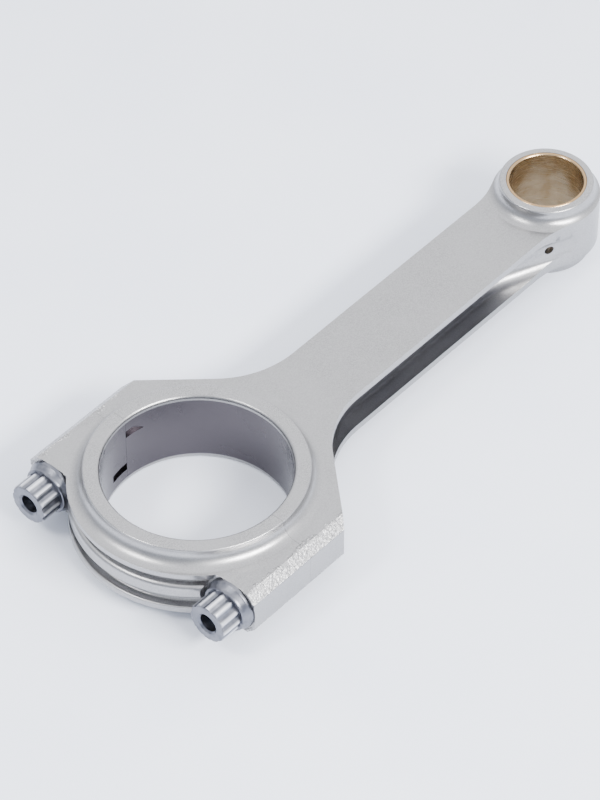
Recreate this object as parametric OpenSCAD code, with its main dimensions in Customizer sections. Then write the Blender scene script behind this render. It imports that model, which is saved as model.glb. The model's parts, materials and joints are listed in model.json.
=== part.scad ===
// Two-bolt H-beam connecting rod with a bushed small end.
// The origin is the centre of the crank bore. +X points to the small end,
// +Z runs along the crank bore, and the cap parts from the rod at X = 0.

/* [Bores] */
// Distance between the crank bore and the piston pin bore
centre_distance = 154; // [148:0.5:162]
// Diameter of the crank bore, with no bearing shells fitted
crank_bore_d = 54; // [53:0.1:55]
// Diameter of the bush bore for the piston pin
pin_bore_d = 22; // [20:0.1:22.4]
// Width over the thrust faces of both ends
end_width = 25; // [23:0.5:27]

/* [Big end] */
// Outside diameter of the thrust faces
thrust_d = 63.5; // [62:0.1:65]
// Width across the shoulders that take the cap screws
shoulder_width = 83.4; // [82:0.2:86]
// Thickness of the forged plate that carries both ends
plate_t = 15.2; // [14:0.2:16]
// Distance from the joint face to the cap screw seats
seat_x = 23.3; // [22:0.1:25]
// Outside radius of the cap's crown
crown_r = 36.3; // [36:0.1:37.5]
// Distance of each cap screw from the rod's centre line
screw_y = 33.4; // [33.2:0.1:34]

/* [Beam] */
// Width of the beam over its flanges
beam_width = 24.4; // [23:0.2:27]
// Thickness of each flange at its edge
flange_t = 2.2; // [1.8:0.1:3]
// Thickness of the web between the two channels
web_t = 7; // [5:0.5:9]
// Radius where the beam sweeps out into the shoulders
neck_r = 30; // [26:1:34]

/* [Small end] */
// Outside diameter of the small-end faces
small_face_d = 28.2; // [27:0.1:29]
// Outside radius of the small-end boss
boss_r = 16.1; // [15.6:0.1:16.6]
// Outside diameter of the bronze bush
bush_d = 24; // [23:0.1:24.4]

/* [Cap screws] */
// Shank and thread diameter of the cap screws
screw_d = 9.5; // [9:0.1:9.6]
// Length of a cap screw under its head
screw_length = 40.6; // [36:0.2:42]
// Width across the flats of the twelve-point head
head_af = 11.1; // [10.5:0.1:11.5]
// Diameter of the collar that seats on the cap
collar_d = 16; // [15:0.1:16.4]

/* [Hidden] */
$fn = 96;

steel = "#c9c9cb";
bronze = "#b3946a";
screw_steel = "#777a86";
sleeve_steel = "#a9abb0";

crank_r = crank_bore_d / 2;
pin_r = pin_bore_d / 2;
bush_r = bush_d / 2;
half_w = end_width / 2;
half_t = plate_t / 2;
half_beam = beam_width / 2;
half_shoulder = shoulder_width / 2;
half_web = web_t / 2;
channel_h = plate_t - 2 * flange_t;

bore_chamfer = 0.5;
cove_r = 4.4;          // hollow that falls from each thrust face to the plate
small_cove_r = 4;
edge_chamfer = 2.7;    // corners left by the forging along the shoulders
flank_angle = 47.5;    // slope of the flanks between shoulder and neck
flank_x = 14;          // where each flank starts, on the shoulder's edge

screw_r = screw_d / 2;
screw_hole_r = 5;      // clearance hole in the cap
thread_hole_r = screw_r + 0.05;
seat_r = 8.7;          // spot face cut into the shoulder for the collar
seat_depth = 0.3;
sleeve_r = 5.9;
sleeve_bore_r = 5.05;
sleeve_length = 8;
sleeve_gap = 0.03;     // running clearance of the sleeves in the cap

oil_hole_r = 1.4;
oil_hole_angle = 137;  // each oil hole points at the pin bore from its channel
runout_r = 38;         // radius on which each channel climbs out at its ends
beam_end = centre_distance - 22;
channel_start = 62;
channel_end = 114.5;
ramp_angle = 22.7;     // slope on which each channel leaves through the boss
ramp_end = 148.5;

tang_depth = 1.5;
tang_w = 2.6;
tang_z = 5;            // height of each slot's nearer wall above or below mid-plane
tang_cutter_r = 10.6;

groove_depth = 3;
rib_half = 2.6;        // half the thickness of the rib left round the crown
crown_flange_t = 2;

head_length = 10.3;
head_point_r = 6.25;   // the twelve points are turned down to this radius
head_face_r = 5.5;
head_flange_r = 7.1;   // round flange between the points and the collar
collar_h = 1.4;
collar_slope_h = 1.2;
head_flange_h = 0.8;
recess_r = 2.8;        // lightening recess in the head
recess_depth = 2.5;
tip_chamfer = 1;

far = 200;

// One quarter-round hollow around an end: a ring with a concave outer wall.
module coved_ring(face_r, foot_r, top) {
    rotate_extrude()
        difference() {
            square([face_r + foot_r, top]);
            translate([face_r + foot_r, half_t + foot_r])
                circle(r = foot_r);
            translate([face_r, half_t + foot_r])
                square([foot_r * 2, top]);
            translate([face_r + foot_r, -1])
                square([foot_r * 2, top + 2]);
        }
}

// Both faces of one end, one above and one below the plate.
module end_faces(face_r, foot_r) {
    coved_ring(face_r, foot_r, half_w);
    mirror([0, 0, 1])
        coved_ring(face_r, foot_r, half_w);
}

// Bore with a small chamfer at each mouth.
module bore_cut(r, chamfer) {
    cylinder(r = r, h = end_width * 2, center = true);
    for (side = [0, 1])
        mirror([0, 0, side])
            translate([0, 0, half_w - chamfer])
                cylinder(r1 = r, r2 = r + chamfer * 2, h = chamfer * 2);
}

// Keeps one half of a shape: +1 is the rod's side of the joint, -1 is the cap's.
module half_of(side) {
    intersection() {
        children();
        translate([side * far / 2, 0, 0])
            cube(far, center = true);
    }
}

// Cross-section of the shoulders, with the forging's bevelled corners.
module shoulder_section() {
    polygon([
        [half_shoulder, half_t - edge_chamfer],
        [half_shoulder - edge_chamfer, half_t],
        [-half_shoulder + edge_chamfer, half_t],
        [-half_shoulder, half_t - edge_chamfer],
        [-half_shoulder, -half_t + edge_chamfer],
        [-half_shoulder + edge_chamfer, -half_t],
        [half_shoulder - edge_chamfer, -half_t],
        [half_shoulder, -half_t + edge_chamfer]
    ]);
}

// Where the neck's arc meets the beam.
neck_x = flank_x + (neck_r - (half_beam + neck_r - half_shoulder) * cos(flank_angle)) / sin(flank_angle);
// Where the neck's arc meets the flank.
neck_touch = [neck_x - neck_r * sin(flank_angle), half_beam + neck_r * (1 - cos(flank_angle))];

// Outline of the rod's plate: shoulders, flanks, neck and beam.
module rod_outline() {
    difference() {
        polygon([
            [0, half_shoulder],
            [flank_x, half_shoulder],
            neck_touch,
            [neck_x, neck_touch[1]],
            [neck_x, half_beam],
            [beam_end, half_beam],
            [beam_end, -half_beam],
            [neck_x, -half_beam],
            [neck_x, -neck_touch[1]],
            [neck_touch[0], -neck_touch[1]],
            [flank_x, -half_shoulder],
            [0, -half_shoulder]
        ]);
        for (side = [-1, 1])
            translate([neck_x, side * (half_beam + neck_r)])
                circle(r = neck_r - 0.01, $fn = 360);
    }
}

// Outline of the small end: the boss and the last of the beam.
module boss_outline() {
    translate([centre_distance, 0])
        circle(r = boss_r);
    translate([beam_end, -half_beam])
        square([centre_distance - beam_end, beam_width]);
}

// What is turned away above the plate to leave a face and the hollow below it.
module cove_cutter(face_r, foot_r) {
    rotate_extrude()
        difference() {
            translate([face_r, half_t])
                square([foot_r * 4, end_width]);
            difference() {
                translate([face_r - 1, half_t - 1])
                    square(foot_r + 1);
                translate([face_r + foot_r, half_t + foot_r])
                    circle(r = foot_r);
            }
        }
}

// Where the straight ramp leaves the disc that cut the channel's end.
ramp_r = runout_r - 0.03;
ramp_foot = [channel_end + ramp_r * sin(ramp_angle), half_web + runout_r - ramp_r * cos(ramp_angle)];
ramp_top = ramp_foot[1] + (ramp_end - ramp_foot[0]) * tan(ramp_angle);

// The channel milled into one side of the beam, which climbs out at both ends.
module channel_cut() {
    translate([0, 0, -channel_h / 2])
        linear_extrude(channel_h) {
            translate([channel_start, half_web])
                square([channel_end - channel_start, runout_r]);
            for (x = [channel_start, channel_end])
                translate([x, half_web + runout_r])
                    circle(r = runout_r, $fn = 360);
            polygon([
                ramp_foot,
                [ramp_end, ramp_top],
                [ramp_end, half_shoulder],
                [ramp_foot[0], half_shoulder]
            ]);
        }
}

// The two screw holes: clearance in the cap, tapped in the rod.
module screw_bores(r) {
    for (side = [-1, 1])
        translate([0, side * screw_y, 0])
            rotate([0, 90, 0])
                cylinder(r = r, h = far, center = true);
}

// Counterbores for the locating sleeves, half in the rod and half in the cap.
module sleeve_bores(r) {
    for (side = [-1, 1])
        translate([0, side * screw_y, 0])
            rotate([0, 90, 0])
                cylinder(r = r, h = sleeve_length + 0.4, center = true);
}

// Slot in the bore wall for the tang of a bearing shell, left by a disc cutter.
module tang_slot(z) {
    translate([0, crank_r + tang_depth - tang_cutter_r, z])
        cylinder(r = tang_cutter_r, h = tang_w);
}

// Oil holes drilled from both channels towards the pin bore.
module oil_holes(start, length) {
    for (side = [-1, 1])
        rotate([0, 0, side * oil_hole_angle])
            translate([start, 0, 0])
                rotate([0, 90, 0])
                    cylinder(r = oil_hole_r, h = length);
}

module rod_body() {
    color(steel)
        difference() {
            half_of(1)
                union() {
                    intersection() {
                        linear_extrude(plate_t, center = true)
                            rod_outline();
                        rotate([90, 0, 90])
                            linear_extrude(far)
                                shoulder_section();
                    }
                    end_faces(thrust_d / 2, cove_r);
                    small_end();
                }
            bore_cut(crank_r, bore_chamfer);
            translate([centre_distance, 0, 0])
                cylinder(r = bush_r, h = far, center = true);
            channel_cut();
            mirror([0, 1, 0])
                channel_cut();
            screw_bores(thread_hole_r);
            sleeve_bores(sleeve_r);
            tang_slot(tang_z);
            translate([centre_distance, 0, 0])
                oil_holes(bush_r - 1, 12);
        }
}

// The small end stands full width round the bush and falls to the plate.
module small_end() {
    difference() {
        linear_extrude(end_width, center = true)
            boss_outline();
        translate([centre_distance, 0, 0])
            for (side = [0, 1])
                mirror([0, 0, side])
                    cove_cutter(small_face_d / 2, small_cove_r);
    }
}

module rod_cap() {
    color(steel)
        difference() {
            half_of(-1)
                union() {
                    intersection() {
                        translate([-seat_x, -half_shoulder, -half_t])
                            cube([seat_x, shoulder_width, plate_t]);
                        rotate([90, 0, 90])
                            linear_extrude(far, center = true)
                                shoulder_section();
                    }
                    cylinder(r = crown_r, h = plate_t, center = true);
                    end_faces(thrust_d / 2, cove_r);
                }
            bore_cut(crank_r, bore_chamfer);
            crown_grooves();
            screw_bores(screw_hole_r);
            sleeve_bores(sleeve_r + sleeve_gap);
            screw_seats();
            tang_slot(-tang_z - tang_w);
        }
}

// Two grooves that leave a rib between thin flanges around the crown.
module crown_grooves() {
    for (side = [0, 1])
        mirror([0, 0, side])
            intersection() {
                translate([0, 0, rib_half])
                    difference() {
                        cylinder(r = crown_r * 2, h = half_t - crown_flange_t - rib_half);
                        translate([0, 0, -1])
                            cylinder(r = crown_r - groove_depth, h = plate_t);
                    }
                translate([-seat_x - far, -far / 2, -far / 2])
                    cube(far);
            }
}

// Spot faces for the screws' collars.
module screw_seats() {
    for (side = [-1, 1])
        translate([-seat_x + seat_depth, side * screw_y, 0])
            rotate([0, -90, 0])
                cylinder(r = seat_r, h = far);
}

module small_end_bush() {
    color(bronze)
        translate([centre_distance, 0, 0])
            difference() {
                cylinder(r = bush_r, h = end_width, center = true);
                bore_cut(pin_r, 0.3);
                oil_holes(pin_r - 1, 3);
            }
}

// Twelve-point screw along +X with its seat at the origin.
module cap_screw() {
    rotate([0, 90, 0]) {
        cylinder(r = screw_r, h = screw_length - tip_chamfer);
        translate([0, 0, screw_length - tip_chamfer])
            cylinder(r1 = screw_r, r2 = screw_r - tip_chamfer, h = tip_chamfer);
    }
    rotate([0, -90, 0])
        difference() {
            union() {
                screw_collar();
                screw_head();
            }
            translate([0, 0, head_length - recess_depth])
                cylinder(r = recess_r, h = head_length);
            translate([0, 0, head_length - 0.6])
                cylinder(r1 = recess_r, r2 = recess_r + 1.2, h = 1.2);
        }
}

// Collar that seats on the cap, and the narrower flange above it.
module screw_collar() {
    cylinder(r = collar_d / 2, h = collar_h);
    translate([0, 0, collar_h])
        cylinder(r1 = collar_d / 2, r2 = head_flange_r + 0.1, h = collar_slope_h);
    translate([0, 0, collar_h + collar_slope_h])
        cylinder(r = head_flange_r, h = head_flange_h);
}

// Two hexagons make the twelve points, which are turned down and chamfered.
module screw_head() {
    intersection() {
        for (turn = [0, 30])
            rotate([0, 0, turn])
                cylinder(r = head_af / 2 / cos(30), h = head_length, $fn = 6);
        union() {
            cylinder(r = head_point_r, h = head_length - 0.8);
            translate([0, 0, head_length - 0.8])
                cylinder(r1 = head_point_r, r2 = head_face_r, h = 0.8);
        }
    }
}

module placed_screw(side) {
    color(screw_steel)
        translate([-seat_x + seat_depth, side * screw_y, 0])
            cap_screw();
}

module cap_screw_left() {
    placed_screw(1);
}

module cap_screw_right() {
    placed_screw(-1);
}

// Thin sleeve round each screw that lines the cap up with the rod.
module locating_sleeve(side) {
    color(sleeve_steel)
        translate([-sleeve_length / 2, side * screw_y, 0])
            rotate([0, 90, 0])
                difference() {
                    cylinder(r = sleeve_r, h = sleeve_length);
                    translate([0, 0, -1])
                        cylinder(r = sleeve_bore_r, h = sleeve_length + 2);
                }
}

module locating_sleeve_left() {
    locating_sleeve(1);
}

module locating_sleeve_right() {
    locating_sleeve(-1);
}

rod_body();
rod_cap();
small_end_bush();
cap_screw_left();
cap_screw_right();
locating_sleeve_left();
locating_sleeve_right();
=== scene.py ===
# %% [markdown]
# # A two-bolt H-beam connecting rod
# The rod joins a piston to a crankshaft. Its big end is split, so that it can
# be closed round the crank throw with a cap and two screws, and its small end
# is lined with a thin bronze bush for the piston pin.
# The exact solids come in first. They fix where everything is, and each piece
# below is modelled again in their place with the finish of the real thing.

# %% Load the frame
import math

import bpy
from mathutils import Euler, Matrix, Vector
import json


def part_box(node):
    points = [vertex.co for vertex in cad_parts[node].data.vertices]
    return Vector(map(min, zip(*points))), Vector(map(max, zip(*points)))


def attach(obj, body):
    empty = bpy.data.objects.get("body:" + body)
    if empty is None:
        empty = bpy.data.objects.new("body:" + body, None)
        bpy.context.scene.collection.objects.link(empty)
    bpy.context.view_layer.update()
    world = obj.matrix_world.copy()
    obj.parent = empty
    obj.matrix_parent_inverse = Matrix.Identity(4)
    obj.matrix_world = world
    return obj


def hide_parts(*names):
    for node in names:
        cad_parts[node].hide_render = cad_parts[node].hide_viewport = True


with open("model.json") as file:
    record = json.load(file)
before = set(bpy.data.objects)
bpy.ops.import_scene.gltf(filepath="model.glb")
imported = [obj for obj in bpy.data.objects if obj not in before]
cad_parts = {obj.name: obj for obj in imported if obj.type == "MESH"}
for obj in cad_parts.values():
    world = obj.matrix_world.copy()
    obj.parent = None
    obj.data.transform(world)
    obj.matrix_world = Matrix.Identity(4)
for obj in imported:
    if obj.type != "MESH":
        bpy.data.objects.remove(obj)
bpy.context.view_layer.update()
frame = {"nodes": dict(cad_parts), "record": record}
MM = 0.001
print("pieces in the frame:", sorted(frame["nodes"]))

# %% [markdown]
# ## The camera
# Seen from about 1.2 metres through a long lens, a small object looks almost
# free of perspective: its round ends stay true ellipses. The camera stands
# before the big end, high and to one side, and looks down along the beam.

# %% Camera
camera_data = bpy.data.cameras.new("camera")
camera_data.sensor_width = 36
camera_data.lens = 190.12
camera = bpy.data.objects.new("camera", camera_data)
bpy.context.scene.collection.objects.link(camera)
bpy.context.scene.camera = camera
camera_place = Vector((-0.583665, -0.549179, 0.860600))
camera_target = Vector((0.046995, 0.003230, 0))
look = (camera_target - camera_place).normalized()
level = look.to_track_quat("-Z", "Y")
roll = Euler((0, 0, math.radians(-0.136))).to_quaternion()
camera.rotation_mode = "QUATERNION"
camera.rotation_quaternion = level @ roll
camera.location = camera_place
print("camera stands", round((camera_target - camera_place).length, 3), "m away")

# %% [markdown]
# ## Sizes
# The driving sizes are measured on the frame, so the model follows it. All
# lengths in the rest of the script are millimetres, and MM turns them into
# Blender's metres at the last moment.

# %% Sizes
rod_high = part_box("rod_body")[1]
cap_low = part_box("rod_cap")[0]
bush_low, bush_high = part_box("small_end_bush")
mounts = {mount["name"]: mount for mount in frame["record"]["mounts"]}

crank_r = mounts["crank_bore"]["dims"]["r_mm"]
pin_r = mounts["pin_bore"]["dims"]["r_mm"]
pin_x = mounts["pin_bore"]["pos_m"][0] / MM
half_w = rod_high.z / MM
shoulder = rod_high.y / MM
nose_x = rod_high.x / MM
crown_r = -cap_low.x / MM
bush_r = (bush_high.x - bush_low.x) / 2 / MM

half_t = 7.6
half_beam = 12.2
thrust_r = 31.75
big_cove_r = 4.4
small_face_r = 14.1
small_cove_r = 4.0
forged_corner = 2.7
seat_x = -23.3
screw_y = 33.4
print("centres", round(pin_x, 2), "mm; big end", 2 * crank_r, "mm bore")

# %% [markdown]
# ## Tools for modelling
# A machinist thinks in outlines: a profile is turned on a lathe, and a plate
# or a pocket follows a path. The same two moves make nearly everything here.
# An outline grows from a single vertex, extruded from point to point, and it
# is then spun round an axis or extruded to a thickness.

# %% Outline tools
def activate(piece):
    bpy.ops.object.select_all(action="DESELECT")
    piece.select_set(True)
    bpy.context.view_layer.objects.active = piece


def arc(centre, radius, start, end, steps):
    """Points on an arc, with its angles in degrees."""
    angles = [math.radians(start + (end - start) * i / steps) for i in range(steps + 1)]
    return [(centre[0] + radius * math.cos(a), centre[1] + radius * math.sin(a)) for a in angles]


def mirrored(points):
    """The same points on the other side of the first axis, in reverse order."""
    return [(x, -y) for x, y in reversed(points)]


def outline(name, points, plane, closed=True):
    """Extrudes one vertex from point to point; plane places a 2-D point in space."""
    bpy.ops.object.select_all(action="DESELECT")
    bpy.ops.mesh.primitive_plane_add(size=MM)
    piece = bpy.context.object
    piece.name = name
    bpy.ops.object.mode_set(mode="EDIT")
    bpy.ops.mesh.select_mode(type="VERT")
    bpy.ops.mesh.select_all(action="SELECT")
    bpy.ops.mesh.merge(type="CENTER")
    places = [Vector(plane(*point)) * MM for point in points]
    bpy.ops.transform.translate(value=places[0])
    for here, there in zip(places, places[1:]):
        bpy.ops.mesh.extrude_vertices_move(TRANSFORM_OT_translate={"value": there - here})
    bpy.ops.mesh.select_all(action="SELECT")
    if closed:
        bpy.ops.mesh.edge_face_add()
    return piece


def finish_solid():
    """Welds a new solid, turns its faces outwards and leaves edit mode."""
    bpy.ops.mesh.select_all(action="SELECT")
    bpy.ops.mesh.remove_doubles(threshold=0.001 * MM)
    bpy.ops.mesh.normals_make_consistent(inside=False)
    bpy.ops.object.mode_set(mode="OBJECT")


def turned(name, profile, centre=(0, 0, 0), axis=(0, 0, 1), steps=128):
    """A solid of revolution from a profile of (radius, height) that starts and ends on the axis."""
    if axis[2]:
        def plane(r, h):
            return (centre[0] + r, centre[1], centre[2] + h)
    else:
        def plane(r, h):
            return (centre[0] - h, centre[1], centre[2] + r)
    piece = outline(name, profile, plane, closed=False)
    bpy.ops.mesh.spin(steps=steps, angle=math.tau, center=Vector(centre) * MM, axis=axis)
    finish_solid()
    return piece


def plate(name, points, bottom, top):
    """A solid with a flat outline between two heights."""
    piece = outline(name, points, lambda x, y: (x, y, bottom))
    bpy.ops.mesh.extrude_region_move(TRANSFORM_OT_translate={"value": (0, 0, (top - bottom) * MM)})
    finish_solid()
    return piece


def box_between(name, low, high):
    corners = [(low[0], low[1]), (high[0], low[1]), (high[0], high[1]), (low[0], high[1])]
    return plate(name, corners, low[2], high[2])


print("outline tools ready")

# %% [markdown]
# A pocket is cut as it is in the workshop: a solid of the cutter's path is
# taken away from the blank. Boolean modifiers do that exactly, and a copy of
# the cutter, mirrored, does the other side.

# %% Cutting tools
def combine(piece, tool, operation):
    modifier = piece.modifiers.new(operation.lower(), "BOOLEAN")
    modifier.operation = operation
    modifier.solver = "EXACT"
    modifier.object = tool
    activate(piece)
    bpy.ops.object.modifier_apply(modifier=modifier.name)
    bpy.data.objects.remove(tool)
    return piece


def cut(piece, *tools):
    for tool in tools:
        combine(piece, tool, "DIFFERENCE")
    return piece


def copy_of(piece, name):
    twin = piece.copy()
    twin.data = piece.data.copy()
    twin.name = name
    bpy.context.scene.collection.objects.link(twin)
    return twin


def reflect(piece, across):
    """Mirrors a piece's mesh across a plane through the origin."""
    activate(piece)
    bpy.ops.object.mode_set(mode="EDIT")
    bpy.ops.mesh.select_all(action="SELECT")
    bpy.ops.transform.mirror(
        constraint_axis=across, center_override=(0, 0, 0), orient_type="GLOBAL"
    )
    bpy.ops.mesh.normals_make_consistent(inside=False)
    bpy.ops.object.mode_set(mode="OBJECT")
    return piece


def both_sides(tool, across):
    return [reflect(copy_of(tool, tool.name + "_twin"), across), tool]


print("cutting tools ready")

# %% [markdown]
# Round holes come from a drill. Shading is smooth over curves and breaks at
# real edges, and edges that need work are picked by their place.

# %% Drill, shading and picking edges
def drill(name, start, end, radius, sides=96):
    """A straight round cutter from one point to another."""
    start = Vector(start) * MM
    end = Vector(end) * MM
    along = end - start
    bpy.ops.object.select_all(action="DESELECT")
    bpy.ops.mesh.primitive_cylinder_add(
        vertices=sides,
        radius=radius * MM,
        depth=along.length,
        location=(start + end) / 2,
        rotation=along.to_track_quat("Z", "Y").to_euler(),
    )
    tool = bpy.context.object
    tool.name = name
    bpy.ops.object.transform_apply(location=True, rotation=True, scale=True)
    return tool


def smooth(piece, angle=40):
    """Shades the curves smoothly and keeps flat faces flat right up to their edges."""
    activate(piece)
    bpy.ops.object.shade_smooth_by_angle(angle=math.radians(angle))
    weighted = piece.modifiers.new("flat faces stay flat", "WEIGHTED_NORMAL")
    weighted.keep_sharp = True
    weighted.weight = 100
    bpy.ops.object.modifier_apply(modifier=weighted.name)
    return piece


def select_edges(piece, belongs):
    """Enters edit mode with the edges selected whose two ends both belong."""
    activate(piece)
    for vertex in piece.data.vertices:
        vertex.select = belongs(vertex.co / MM)
    for edge in piece.data.edges:
        edge.select = all(piece.data.vertices[v].select for v in edge.vertices)
    for face in piece.data.polygons:
        face.select = False
    bpy.ops.object.mode_set(mode="EDIT")
    bpy.ops.mesh.select_mode(type="EDGE")


print("drill and shading ready")

# %% [markdown]
# ## The faces of both ends
# On the real forging each end is faced on a lathe or mill: the thrust face
# stands proud, and a form tool leaves a quarter-round cove round it, which
# sweeps down to the plate without a corner that could start a crack.
# So the blank is a plain outline at full width, and one wide cutter with two
# turned islands in it leaves both ends standing.

# %% Face cutter
def end_island(name, x, face_r, cove_r, edge_r, steps):
    """The face, its broken edge and its cove, whose foot just dips under the plate's top."""
    foot_depth = 0.03
    cove = arc((face_r + cove_r, half_t - foot_depth + cove_r), cove_r, 270, 180, 16)
    edge = arc((face_r - edge_r, half_w - edge_r), edge_r, 0, 90, 4)
    profile = [(0, half_t - 1), (face_r + cove_r, half_t - 1)] + cove + edge + [(0, half_w)]
    return turned(name, profile, centre=(x, 0, 0), steps=steps)


def face_cutter():
    big = end_island("big end island", 0, thrust_r, big_cove_r, 0.45, 160)
    small = end_island("small end island", pin_x, small_face_r, small_cove_r, 0.6, 112)
    slab = box_between("face cutter", (-60, -60, half_t), (190, 60, half_w + 3))
    return cut(slab, big, small)


face_tool = face_cutter()
print("face cutter has", len(face_tool.data.polygons), "faces")

# %% [markdown]
# ## The rod's blank
# Seen from above, the rod is shoulders that taper into a neck, a beam with
# parallel edges, and a round boss. Its stretches are straight lines and
# tangent arcs, as they would be on the forging's drawing. The rod stops a hair
# short of the joint plane and so does the cap, which leaves the fine dark line
# that a ground joint shows.

# %% Rod outline
flank_x = 14
flank_angle = 47.5
neck_r = 30
joint_gap = 0.03
boss_r = nose_x - pin_x
blend_r = 30


def rod_points():
    slope = math.radians(flank_angle)
    rise = half_beam + neck_r
    neck_x = flank_x + (neck_r - (rise - shoulder) * math.cos(slope)) / math.sin(slope)
    reach = half_beam + blend_r
    blend_x = pin_x - math.sqrt((boss_r + blend_r) ** 2 - reach ** 2)
    meet = math.degrees(math.atan2(reach, pin_x - blend_x))
    upper = [(joint_gap, shoulder), (flank_x, shoulder)]
    upper += arc((neck_x, rise), neck_r, 270 - flank_angle, 270, 24)
    upper += arc((blend_x, reach), blend_r, 270, 360 - meet, 10)
    upper += arc((pin_x, 0), boss_r, 180 - meet, 0, 44)
    return upper + mirrored(upper)[1:]


def corner_bars():
    """Prisms that leave the forging's 45-degree corners along the shoulders."""
    points = [
        (shoulder + 1, half_t - forged_corner - 1),
        (shoulder + 1, half_t + 1),
        (shoulder - forged_corner - 1, half_t + 1),
    ]
    bar = outline("corner bar", points, lambda y, z: (-40, y, z))
    bpy.ops.mesh.extrude_region_move(TRANSFORM_OT_translate={"value": (80 * MM, 0, 0)})
    finish_solid()
    upper = both_sides(bar, (False, True, False))
    return [tool for side in upper for tool in both_sides(side, (False, False, True))]


rod = plate("rod_steel", rod_points(), -half_w - 0.1, half_w + 0.1)
cut(rod, *both_sides(copy_of(face_tool, "rod faces"), (False, False, True)))
cut(rod, *corner_bars())
print("rod blank:", len(rod.data.polygons), "faces")

# %% [markdown]
# ## The channels
# Each side of the beam is milled out to leave an H in section. A disc cutter
# with a round-cornered rim plunges in at one end, runs along the beam and
# climbs out through the side of the boss, so the channel's ends are scoops.
# The rim is drawn once. It is spun about the disc's axis where the cutter
# turns and extruded where it runs straight.

# %% Channel cutter
web_half = 3.5
channel_half = 5.35
channel_corner = 4.4
disc_r = 38
channel_start = 62
channel_end = 114.5
neck_scoop = math.radians(88)
ramp_angle = math.radians(22.7)
ramp_length = 20.6
lift_out_r = 4
lift_out_angle = math.radians(50)
cutter_top = 33


def channel_cutter():
    round_y = web_half + channel_corner
    round_z = channel_half - channel_corner
    low = arc((round_y, -round_z), channel_corner, 270, 180, 8)
    high = arc((round_y, round_z), channel_corner, 180, 90, 8)
    rim = [(cutter_top, -channel_half)] + low + high + [(cutter_top, channel_half)]
    piece = outline("channel", rim, lambda y, z: (channel_start, y, z), closed=False)
    disc_y = web_half + disc_r
    bpy.ops.mesh.spin(
        steps=32, angle=neck_scoop, center=Vector((channel_start, disc_y, 0)) * MM, axis=(0, 0, 1)
    )
    bpy.ops.mesh.select_all(action="DESELECT")
    bpy.ops.object.mode_set(mode="OBJECT")
    select_edges(piece, lambda p: abs(p.x - channel_start) < 0.001)
    run = (channel_end - channel_start) * MM
    bpy.ops.mesh.extrude_region_move(TRANSFORM_OT_translate={"value": (run, 0, 0)})
    bpy.ops.mesh.spin(
        steps=12, angle=-ramp_angle, center=Vector((channel_end, disc_y, 0)) * MM, axis=(0, 0, 1)
    )
    along = Vector((math.cos(ramp_angle), math.sin(ramp_angle), 0))
    across = Vector((-along.y, along.x, 0))
    foot = Vector((channel_end, disc_y, 0)) - across * disc_r
    bpy.ops.mesh.extrude_region_move(
        TRANSFORM_OT_translate={"value": along * ramp_length * MM}
    )
    lift_out = foot + along * ramp_length + across * lift_out_r
    bpy.ops.mesh.spin(steps=8, angle=-lift_out_angle, center=lift_out * MM, axis=(0, 0, 1))
    bpy.ops.mesh.select_all(action="SELECT")
    bpy.ops.mesh.remove_doubles(threshold=0.001 * MM)
    bpy.ops.mesh.select_all(action="DESELECT")
    bpy.ops.mesh.select_non_manifold()
    bpy.ops.mesh.fill_holes(sides=0)
    finish_solid()
    return piece


channel = channel_cutter()
cut(rod, *both_sides(channel, (False, True, False)))
print("channels milled:", len(rod.data.polygons), "faces")


# %% [markdown]
# ## Bores and drilled holes
# The crank bore is honed through rod and cap together, so both are cut with
# the same turned tool. The screws' holes are tapped in the rod, clear in the
# cap, and widened at the joint for the sleeves. Two small holes lead oil from
# the scoops to the piston pin.

# %% Bores
def bore_tool(name, radius, round_r, steps):
    """A boring bar's path with a rounded mouth at each end, which leaves a bright rim."""
    reach = half_w + 2
    just_above = half_w + 0.02
    top = [(radius + round_r + 2, reach), (radius + round_r, just_above)]
    top += arc((radius + round_r, half_w - round_r), round_r, 90, 180, 6)
    low = [(r, -z) for r, z in reversed(top)]
    return turned(name, [(0, reach)] + top + low + [(0, -reach)], steps=steps)


screw_hole_r = 5.0
thread_hole_r = 4.8
sleeve_r = 5.9
sleeve_half = 4
tang_r = 10.6
tang_depth = 1.5
tang_y = crank_r + tang_depth - tang_r
tang_low = 5
tang_high = 7.6
oil_hole_r = 1.4
oil_angle = math.radians(43)

crank_tool = bore_tool("crank bore", crank_r, 1.2, 160)
cut(rod, copy_of(crank_tool, "rod's half of the bore"))
cut(rod, drill("bush seat", (pin_x, 0, -20), (pin_x, 0, 20), bush_r, 112))
for side in (1, -1):
    y = side * screw_y
    cut(rod, drill("tapped hole", (-5, y, 0), (40, y, 0), thread_hole_r, 64))
    cut(rod, drill("sleeve seat", (-5, y, 0), (sleeve_half + 0.2, y, 0), sleeve_r, 64))
    out = Vector((-math.cos(oil_angle), side * math.sin(oil_angle), 0))
    start = Vector((pin_x, 0, 0)) + out * (bush_r - 1)
    cut(rod, drill("oil hole", start, start + out * 12, oil_hole_r, 32))
cut(rod, drill("rod's tang slot", (0, tang_y, tang_low), (0, tang_y, tang_high), tang_r, 128))
print("rod bored:", len(rod.data.polygons), "faces")

# %% [markdown]
# ## The cap
# The cap is the other half of the big end. Its crown carries a rib between
# two thin flanges: two grooves, turned with the bore, take away the metal
# that would add weight and no stiffness. Each screw's collar seats in a spot
# face, which bites into the crown beside it.

# %% Cap
def cap_points():
    start = math.degrees(math.atan2(math.sqrt(crown_r ** 2 - seat_x ** 2), seat_x))
    upper = [(-joint_gap, shoulder), (seat_x, shoulder)] + arc((0, 0), crown_r, start, 180, 40)
    return upper + mirrored(upper)[1:]


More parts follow.
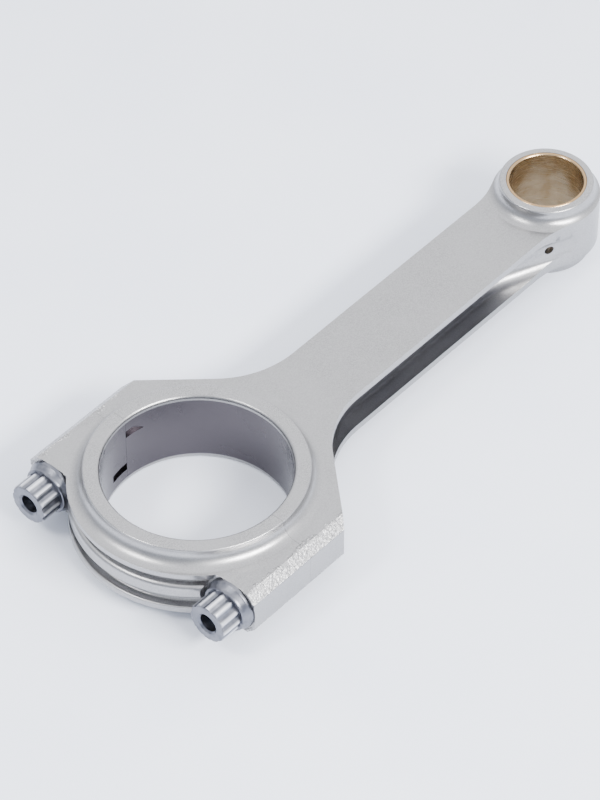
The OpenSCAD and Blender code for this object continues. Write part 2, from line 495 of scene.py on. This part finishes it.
def crown_grooves():
    """The air round the rib, as one ring with the rib's rounded section left out of it."""
    deep = crown_r - 3.0
    top = half_t - 2.0
    rib = 2.6
    rib_r = 1.6
    rib_relief = 0.1
    round_r = 0.9
    edge_r = 0.5
    half = [(crown_r + 9, top + edge_r)]
    half += arc((crown_r - edge_r, top + edge_r), edge_r, 0, -90, 4)
    half += arc((deep + round_r, top - round_r), round_r, 90, 180, 5)
    half += arc((deep + round_r, rib + round_r), round_r, 180, 270, 5)
    half += arc((crown_r - rib_relief - rib_r, rib - rib_r), rib_r, 90, 0, 8)
    lower = [(r, -z) for r, z in reversed(half)]
    ring = outline("grooves", half + lower, lambda r, z: (r, 0, z), closed=True)
    bpy.ops.mesh.delete(type="ONLY_FACE")
    bpy.ops.mesh.select_all(action="SELECT")
    bpy.ops.mesh.spin(steps=160, angle=math.tau, center=(0, 0, 0), axis=(0, 0, 1))
    finish_solid()
    beyond = box_between("beyond the shoulders", (-70, -70, -9), (seat_x, 70, 9))
    return combine(ring, beyond, "INTERSECT")


cap = plate("cap_steel", cap_points(), -half_w - 0.1, half_w + 0.1)
cut(cap, *both_sides(face_tool, (False, False, True)))
cut(cap, *corner_bars())
cut(cap, crown_grooves())
cut(cap, crank_tool)
spot_depth = 0.3
spot_r = 8.7
sleeve_gap = 0.03
for side in (1, -1):
    y = side * screw_y
    sleeve_end = (-sleeve_half - 0.2, y, 0)
    cut(cap, drill("spot face", (seat_x + spot_depth, y, 0), (-60, y, 0), spot_r, 96))
    cut(cap, drill("screw hole", (5, y, 0), (-40, y, 0), screw_hole_r, 64))
    cut(cap, drill("sleeve seat", (5, y, 0), sleeve_end, sleeve_r + sleeve_gap, 64))
cut(cap, drill("cap's tang slot", (0, tang_y, -tang_high), (0, tang_y, -tang_low), tang_r, 128))
print("cap:", len(cap.data.polygons), "faces")

# %% [markdown]
# Peening with fine shot leaves the outline of the plate softly rounded, and
# the narrow highlight along such an edge is what makes metal look solid. Only
# the outline's own edges are chosen, by their height and by leaving out what
# lies near the coves.

# %% Rounded outline
def on_plate_edge(point):
    level = abs(abs(point.z) - half_t) < 0.01
    clear_of_big = math.hypot(point.x, point.y) > thrust_r + big_cove_r + 0.1
    clear_of_small = math.hypot(point.x - pin_x, point.y) > small_face_r + small_cove_r + 0.1
    return level and clear_of_big and clear_of_small


plate_edge_r = 0.35
for piece in (rod, cap):
    select_edges(piece, on_plate_edge)
    bpy.ops.mesh.bevel(offset=plate_edge_r * MM, segments=3, affect="EDGES", clamp_overlap=True)
    bpy.ops.mesh.select_all(action="DESELECT")
    bpy.ops.object.mode_set(mode="OBJECT")
    smooth(piece)
    print(piece.name, len(piece.data.polygons), "faces with its outline rounded")

# %% [markdown]
# ## Bush and sleeves
# The bush is a plain bronze tube, pressed in and bored to fit the pin. The two
# steel sleeves sit half in the rod and half in the cap, and line them up.

# %% Bush and sleeves
def tube(name, inner, outer, half, chamfer, centre, axis, steps):
    profile = [
        (inner + chamfer, -half),
        (outer - chamfer, -half),
        (outer, -half + chamfer),
        (outer, half - chamfer),
        (outer - chamfer, half),
        (inner + chamfer, half),
        (inner, half - chamfer),
        (inner, -half + chamfer),
        (inner + chamfer, -half),
    ]
    return turned(name, profile, centre, axis, steps)


bush = tube("bush_bronze", pin_r, bush_r - 0.02, half_w, 0.18, (pin_x, 0, 0), (0, 0, 1), 128)
for side in (1, -1):
    out = Vector((-math.cos(oil_angle), side * math.sin(oil_angle), 0))
    start = Vector((pin_x, 0, 0)) + out * (pin_r - 2)
    cut(bush, drill("oil hole", start, start + out * 6, oil_hole_r, 32))
smooth(bush)

sleeves = []
for side, name in ((1, "left"), (-1, "right")):
    sleeve = tube("sleeve_" + name, 5.05, sleeve_r, sleeve_half, 0.2, (0, side * screw_y, 0), (1, 0, 0), 64)
    sleeves.append(smooth(sleeve))
print("bush and", len(sleeves), "sleeves")

# %% [markdown]
# ## The cap screws
# A rod screw carries the whole pull of the piston, so it is forged from
# strong alloy steel: a twelve-point head, a wide collar, and a thread rolled
# with the grain. Its head is two hexagons turned against each other, and a
# recess in its face saves weight. The thread is a real helix: each ring of the
# shank is pushed in and out by its distance along the pitch.

# %% Cap screws
screw_r = 4.75
seat = seat_x + spot_depth
head_length = 10.3
head_start = 2.6
point_r = 6.25
collar_top = 3.4
screw_length = 40.6
pitch = 25.4 / 24
thread_length = 19


def star_points(flats, corner):
    """Outline of two crossed hexagons, from the width over flats, cut off at a corner radius."""
    inner = flats / 2 / math.cos(math.radians(15))
    points = []
    for i in range(12):
        tip = math.radians(30 * i)
        dent = math.radians(30 * i + 15)
        points.append((corner * math.cos(tip), corner * math.sin(tip)))
        points.append((inner * math.cos(dent), inner * math.sin(dent)))
    return points


def screw_head(y):
    points = star_points(10.75, 6.41)
    star = outline("head", points, lambda u, v: (seat - head_start, y + u, v))
    length = (head_length - head_start) * MM
    bpy.ops.mesh.extrude_region_move(TRANSFORM_OT_translate={"value": (-length, 0, 0)})
    finish_solid()
    face_r = 1.1
    face = arc((point_r - face_r, head_length - 0.9), face_r, 0, 62, 5)
    envelope = [(0, 2), (point_r, 2)] + face + [(5.45, head_length), (0, head_length)]
    combine(star, turned("envelope", envelope, (seat, y, 0), (1, 0, 0), 96), "INTERSECT")
    return star


def screw_shank(y):
    """Shank and collar in one turned profile, with enough rings along the thread for its helix."""
    tip = -screw_length
    rings = int(thread_length / pitch * 10)
    step = thread_length / rings
    shank = [(0, tip), (3.6, tip)]
    shank += [(screw_r, tip + step * i) for i in range(1, rings + 1)]
    shank += [(4.3, tip + thread_length + 0.8), (4.3, -1.2), (4.75, -0.6), (4.75, 0)]
    slope = arc((7.55, 0.95), 0.45, 0, 60, 4)
    collar = [(7.8, 0), (8.0, 0.2)] + slope + [(7.25, 2.45), (7.1, 2.7), (7.1, 3.2), (6.9, collar_top)]
    profile = shank + collar + [(0, collar_top)]
    piece = turned("screw", profile, (seat, y, 0), (1, 0, 0), 96)
    for vertex in piece.data.vertices:
        along = seat - vertex.co.x / MM
        if tip + 0.01 < along < tip + thread_length:
            across = Vector((0, vertex.co.y / MM - y, vertex.co.z / MM))
            turn = math.atan2(across.z, across.y) / math.tau
            phase = (along / pitch + turn) % 1
            depth = 0.6 * min(1, abs(2 * phase - 1) * 1.25)
            fade = min(1, (tip + thread_length - along) / 2.5)
            radius = screw_r - depth * fade
            if along < tip + 1:
                radius = min(radius, 3.75 + (along - tip))
            across *= radius / across.length
            vertex.co.y = (y + across.y) * MM
            vertex.co.z = across.z * MM
    return piece


def cap_screw(name, y):
    shank = smooth(screw_shank(y), 35)
    recess = [(0, head_length + 1), (4.6, head_length + 1), (2.85, head_length - 0.55)]
    recess += arc((1.85, head_length - 4.2), 1.0, 0, -70, 4) + [(0, head_length - 5.4)]
    head = cut(screw_head(y), turned("recess", recess, (seat, y, 0), (1, 0, 0), 64))
    activate(head)
    bpy.ops.object.shade_smooth_by_angle(angle=math.radians(30))
    shank.select_set(True)
    bpy.context.view_layer.objects.active = shank
    bpy.ops.object.join()
    shank.name = name
    return shank


left_screw = cap_screw("screw_left", screw_y)
right_screw = copy_of(left_screw, "screw_right")
activate(right_screw)
bpy.ops.object.mode_set(mode="EDIT")
bpy.ops.mesh.select_all(action="SELECT")
bpy.ops.transform.translate(value=(0, -2 * screw_y * MM, 0))
bpy.ops.object.mode_set(mode="OBJECT")
print("screws:", len(left_screw.data.polygons), "faces each")

# %% [markdown]
# ## Joining the frame
# Each finished piece moves with its own body of the exact model and stands in
# for the piece it was modelled on.

# %% Pieces ride on their bodies
riders = [
    (rod, "rod", "rod_body", "rod_steel"),
    (cap, "cap", "rod_cap", "rod_steel"),
    (bush, "rod", "small_end_bush", "bush_bronze"),
    (left_screw, "screw_left", "cap_screw_left", "screw_steel"),
    (right_screw, "screw_right", "cap_screw_right", "screw_steel"),
    (sleeves[0], "rod", "locating_sleeve_left", "sleeve_steel"),
    (sleeves[1], "rod", "locating_sleeve_right", "sleeve_steel"),
]
for piece, body, node, slot in riders:
    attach(piece, body)
    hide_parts(node)

# %% [markdown]
# ## Materials
# Colours are written as sRGB hex and pass through one function that makes them
# linear. Pattern sizes are real millimetres: a pattern's scale is one metre
# divided by the size of one feature. All patterns read Object coordinates, so
# they stay on the piece when it moves.

# %% Node tools
def linear(hex_colour):
    """An sRGB colour written as hex, as the linear values that shaders take."""
    parts = [int(hex_colour[i : i + 2], 16) / 255 for i in (1, 3, 5)]
    values = [p / 12.92 if p <= 0.04045 else ((p + 0.055) / 1.055) ** 2.4 for p in parts]
    return (*values, 1)


def new_material(name, colour, metallic, roughness):
    material = bpy.data.materials.new(name)
    material.use_nodes = True
    shader = material.node_tree.nodes["Principled BSDF"]
    shader.inputs["Base Color"].default_value = linear(colour)
    shader.inputs["Metallic"].default_value = metallic
    shader.inputs["Roughness"].default_value = roughness
    return material, shader


def add(material, kind, links=(), values=(), **settings):
    """Adds a node; links and values map its input sockets to other sockets and to numbers."""
    node = material.node_tree.nodes.new(kind)
    for setting, value in settings.items():
        setattr(node, setting, value)
    for socket, value in dict(values).items():
        node.inputs[socket].default_value = value
    for socket, source in dict(links).items():
        material.node_tree.links.new(source, node.inputs[socket])
    return node


def place_on_piece(material, stretch=(1, 1, 1)):
    coordinates = add(material, "ShaderNodeTexCoord").outputs["Object"]
    if stretch == (1, 1, 1):
        return coordinates
    mapping = add(material, "ShaderNodeMapping", {"Vector": coordinates}, {"Scale": stretch})
    return mapping.outputs["Vector"]


def noise(material, size_mm, detail=2, stretch=(1, 1, 1)):
    """Noise whose features are about size_mm across."""
    links = {"Vector": place_on_piece(material, stretch)}
    values = {"Scale": 1000 / size_mm, "Detail": detail, "Roughness": 0.55}
    return add(material, "ShaderNodeTexNoise", links, values).outputs["Fac"]


def spread(material, source, low, high, to_low=0.0, to_high=1.0):
    """Stretches the part of a value between low and high over a new range."""
    values = {"From Min": low, "From Max": high, "To Min": to_low, "To Max": to_high}
    return add(material, "ShaderNodeMapRange", {"Value": source}, values).outputs["Result"]


def maths(material, operation, first, second=None):
    node = add(material, "ShaderNodeMath", operation=operation)
    for socket, value in ((0, first), (1, second)):
        if isinstance(value, (int, float)):
            node.inputs[socket].default_value = value
        elif value is not None:
            material.node_tree.links.new(value, node.inputs[socket])
    return node.outputs[0]


def blend(material, factor, first, second):
    """Mixes two colours, each a hex string or a socket."""
    node = add(material, "ShaderNodeMix", {"Factor": factor}, data_type="RGBA")
    for socket, value in ((6, first), (7, second)):
        if isinstance(value, str):
            node.inputs[socket].default_value = linear(value)
        else:
            material.node_tree.links.new(value, node.inputs[socket])
    return node.outputs[2]


def bump(material, shader, height, depth_mm, strength=1.0, under=None):
    """A fine relief of a real depth; under is the relief below it."""
    links = {"Height": height}
    if under is not None:
        links["Normal"] = under
    values = {"Strength": strength, "Distance": depth_mm * MM}
    node = add(material, "ShaderNodeBump", links, values)
    material.node_tree.links.new(node.outputs["Normal"], shader.inputs["Normal"])
    return node.outputs["Normal"]


def drive(material, source, shader, socket):
    material.node_tree.links.new(source, shader.inputs[socket])


def coat(piece, material):
    piece.data.materials.clear()
    piece.data.materials.append(material)


print("node tools ready")

# %% [markdown]
# The forged steel is blasted with fine shot. Its thousands of small dents turn
# the mirror of the bare metal into an even satin grey, with a slight cloudiness
# where the blast lingered. The thrust faces and the bore are machined after
# that, so they are smoother: the grinding leaves faint arcs on the faces, and
# the hone leaves a finer wall, which is painted dark as painted shade inside
# the bore. The channels are painted darker too, as painted shade between the
# flanges. On the shoulders' corners the skin of the forging remains, coarse,
# with painted glints in its colour.

# %% Shot-peened forged steel
def within(material, value, low, high, edge):
    """One between low and high, fading to nought over the edge width."""
    rise = spread(material, value, low - edge, low + edge)
    fall = spread(material, value, high - edge, high + edge, 1, 0)
    return maths(material, "MULTIPLY", rise, fall)


def peened_steel():
    material, shader = new_material("shot-peened forged steel", "#a3a1a0", 1.0, 0.36)
    place = place_on_piece(material)
    axes = add(material, "ShaderNodeSeparateXYZ", {"Vector": place}).outputs
    height = maths(material, "ABSOLUTE", axes["Z"])
    side = maths(material, "ABSOLUTE", axes["Y"])
    flat = add(material, "ShaderNodeVectorMath", {0: place}, {1: (1, 1, 0)}, operation="MULTIPLY")
    length = {0: flat.outputs["Vector"]}
    radius = add(material, "ShaderNodeVectorMath", length, operation="LENGTH").outputs["Value"]

    face = spread(material, height, (half_w - 0.25) * MM, (half_w - 0.1) * MM)
    # The bore: smoother, and painted darker as painted shade inside it.
    slot_r = crank_r + tang_depth
    bore = spread(material, radius, (slot_r + 0.1) * MM, (slot_r + 0.3) * MM, 1, 0)
    bore = maths(material, "MULTIPLY", bore, spread(material, height, 10.6 * MM, 11 * MM, 1, 0))
    unevenness = maths(material, "SUBTRACT", noise(material, 4, 5), 0.5)
    ragged = maths(material, "MULTIPLY", unevenness, 9 * MM)
    inner = shoulder - forged_corner
    lower = half_t - forged_corner
    edge = maths(material, "ADD", side, ragged)
    beyond = spread(material, edge, (inner - 0.4) * MM, (inner + 0.2) * MM)
    corner = spread(material, height, (lower - 0.5) * MM, (lower - 0.1) * MM)
    skin = maths(material, "MULTIPLY", beyond, corner)
    # Where the painted shade of the channels between the flanges goes.
    along_beam = within(material, axes["X"], 40 * MM, 124 * MM, 4 * MM)
    low_enough = spread(material, height, 5.1 * MM, 5.5 * MM, 1, 0)
    inside = spread(material, side, 11.9 * MM, 12.15 * MM, 1, 0)
    neck = spread(material, axes["X"], 62 * MM, 66 * MM, 1, 0)
    inside = maths(material, "MAXIMUM", inside, neck)
    pocket = maths(material, "MULTIPLY", maths(material, "MULTIPLY", along_beam, low_enough), inside)

    cloud = spread(material, noise(material, 14, 3), 0.35, 0.65)
    grain = noise(material, 0.35, 2)
    # Bright specks for painted glints on the forging skin.
    painted_glints = spread(material, noise(material, 0.5, 5), 0.5, 0.62)
    body = blend(material, cloud, "#929191", "#9d9c9c")
    body = blend(material, spread(material, grain, 0.35, 0.65), body, "#a8a7a7")
    # Painted shade: the bore wall and tang slot are coloured dark.
    body = blend(material, bore, body, "#545054")
    # Painted shade: the channels are coloured darker.
    body = blend(material, pocket, body, "#68676a")
    # Painted glints: the skin's colour is speckled with near white.
    skin_with_painted_glints = blend(material, painted_glints, "#929191", "#cfcecd")
    drive(material, blend(material, skin, body, skin_with_painted_glints), shader, "Base Color")

    satin = spread(material, cloud, 0, 1, 0.28, 0.35)
    polish = maths(material, "MULTIPLY", maths(material, "MAXIMUM", face, bore), 0.06)
    satin = maths(material, "SUBTRACT", satin, polish)
    satin = maths(material, "ADD", satin, maths(material, "MULTIPLY", skin, 0.1))
    drive(material, satin, shader, "Roughness")

    by_radius = add(material, "ShaderNodeCombineXYZ", {"X": radius}).outputs["Vector"]
    fineness = {"Scale": 1000 / 0.35, "Detail": 2}
    arcs = add(material, "ShaderNodeTexNoise", {"Vector": by_radius}, fineness).outputs["Fac"]
    ground = maths(material, "MULTIPLY", arcs, face)
    dents = maths(material, "MULTIPLY", grain, maths(material, "SUBTRACT", 1, face))
    relief = bump(material, shader, dents, 0.016)
    relief = bump(material, shader, ground, 0.006, under=relief)
    coarse = maths(material, "MULTIPLY", noise(material, 0.9, 4), skin)
    bump(material, shader, coarse, 0.22, under=relief)
    return material


steel = peened_steel()
for piece in (rod, cap):
    coat(piece, steel)
print("steel has", len(steel.node_tree.nodes), "nodes")

# %% [markdown]
# The bush is leaded bronze, pale and slightly greenish-gold. It is fine-bored,
# and the tool's feed leaves close rings round the bore. They stretch each
# highlight along the wall, as brushed metal does.

# %% Fine-bored bronze
def bored_bronze():
    material, shader = new_material("fine-bored bronze", "#c9ac84", 1.0, 0.26)
    rings = noise(material, 0.4, 3, stretch=(0.06, 0.06, 1))
    tint = spread(material, noise(material, 5, 2), 0.35, 0.65)
    wall = blend(material, tint, "#b8a588", "#cdbfa8")
    axes = add(material, "ShaderNodeSeparateXYZ", {"Vector": place_on_piece(material)}).outputs
    height = maths(material, "ABSOLUTE", axes["Z"])
    # The end faces are painted darker and deeper gold than the wall, as painted shade against the bright
    # sky they reflect.
    face = spread(material, height, (half_w - 0.2) * MM, (half_w - 0.1) * MM)
    drive(material, blend(material, face, wall, "#a98c68"), shader, "Base Color")
    drive(material, spread(material, rings, 0.3, 0.7, 0.2, 0.3), shader, "Roughness")
    bump(material, shader, rings, 0.02)
    return material


bronze = bored_bronze()
coat(bush, bronze)
print("bronze has", len(bronze.node_tree.nodes), "nodes")

# %% [markdown]
# The screws are black-oiled alloy steel. The dark film is thin: it has a cool
# cast, holds in the hollows and is rubbed bright on the edges by the wrench.
# The sleeves are plain ground steel.

# %% Oiled screw steel and ground sleeve steel
def oiled_steel():
    material, shader = new_material("oiled alloy steel", "#8b8d99", 1.0, 0.34)
    axes = add(material, "ShaderNodeSeparateXYZ", {"Vector": place_on_piece(material)}).outputs
    aside = maths(material, "SUBTRACT", maths(material, "ABSOLUTE", axes["Y"]), screw_y * MM)
    across = add(material, "ShaderNodeCombineXYZ", {"X": aside, "Y": axes["Z"]}).outputs["Vector"]
    reach = add(material, "ShaderNodeVectorMath", {0: across}, operation="LENGTH").outputs["Value"]
    on_points = spread(material, reach, 5.85 * MM, 6.2 * MM)
    on_head = spread(material, axes["X"], (seat_x - 4) * MM, (seat_x - 3.4) * MM, 1, 0)
    edges = maths(material, "MULTIPLY", on_points, on_head)
    film = spread(material, noise(material, 2.5, 4), 0.35, 0.65)
    body = blend(material, film, "#63656d", "#7a7b81")
    drive(material, blend(material, edges, body, "#d4d5da"), shader, "Base Color")
    drive(material, spread(material, film, 0, 1, 0.3, 0.42), shader, "Roughness")
    bump(material, shader, noise(material, 0.3, 2), 0.01)
    return material


def ground_steel():
    material, shader = new_material("ground sleeve steel", "#a0a1a5", 1.0, 0.25)
    lines = noise(material, 0.3, 2, stretch=(0.05, 1, 1))
    drive(material, spread(material, lines, 0.3, 0.7, 0.2, 0.32), shader, "Roughness")
    bump(material, shader, lines, 0.004)
    return material


oiled = oiled_steel()
for piece in (left_screw, right_screw):
    coat(piece, oiled)
ground = ground_steel()
for piece in sleeves:
    coat(piece, ground)
print("screws and sleeves are finished")

# %% [markdown]
# ## Floor and light
# The rod lies on pale blue-grey paper. The room is a soft tent: bright above,
# dimmer towards the horizon and on the near side. One wide softbox stands low
# on the right and draws the highlights on the coves, the scoops and the rim of
# the bore, and a small one on the left answers it on the other side.

# %% Floor and light
bpy.ops.object.select_all(action="DESELECT")
bpy.ops.mesh.primitive_plane_add(size=6, location=(0, 0, 0))
floor = bpy.context.object
floor.name = "floor"
bpy.ops.object.mode_set(mode="EDIT")
bpy.ops.transform.translate(value=(0, 0, -half_w * MM - 0.00005))
bpy.ops.object.mode_set(mode="OBJECT")
paper, paper_shader = new_material("matt paper", "#e9eefa", 0.0, 0.9)
blotch = spread(paper, noise(paper, 60, 3), 0.3, 0.7)
drive(paper, blend(paper, blotch, "#e8edf9", "#eff3fc"), paper_shader, "Base Color")
bump(paper, paper_shader, noise(paper, 0.6, 3), 0.02, 0.5)
coat(floor, paper)

world = bpy.data.worlds.new("soft tent")
bpy.context.scene.world = world
world.use_nodes = True
background = world.node_tree.nodes["Background"]
sky = add(world, "ShaderNodeTexCoord").outputs["Generated"]
far_and_up = {1: (0.5, 0.1, 0.86)}
brightest = add(world, "ShaderNodeVectorMath", {0: sky}, far_and_up, operation="DOT_PRODUCT")
tent = blend(world, spread(world, brightest.outputs["Value"], -0.1, 0.9), "#8c919b", "#f2f4f9")
world.node_tree.links.new(tent, background.inputs["Color"])
background.inputs["Strength"].default_value = 2.9


def softbox(name, place, target, width, height, power):
    data = bpy.data.lights.new(name, "AREA")
    data.shape = "RECTANGLE"
    data.size = width
    data.size_y = height
    data.energy = power
    lamp = bpy.data.objects.new(name, data)
    bpy.context.scene.collection.objects.link(lamp)
    lamp.location = place
    lamp.rotation_euler = (Vector(target) - Vector(place)).to_track_quat("-Z", "Y").to_euler()
    return lamp


softbox("right", (0.0, -0.88, 0.72), (0.07, 0, 0), 0.65, 0.2, 28)
softbox("left", (-0.6, 0.25, 0.85), (0.07, 0, 0), 0.25, 0.2, 6)
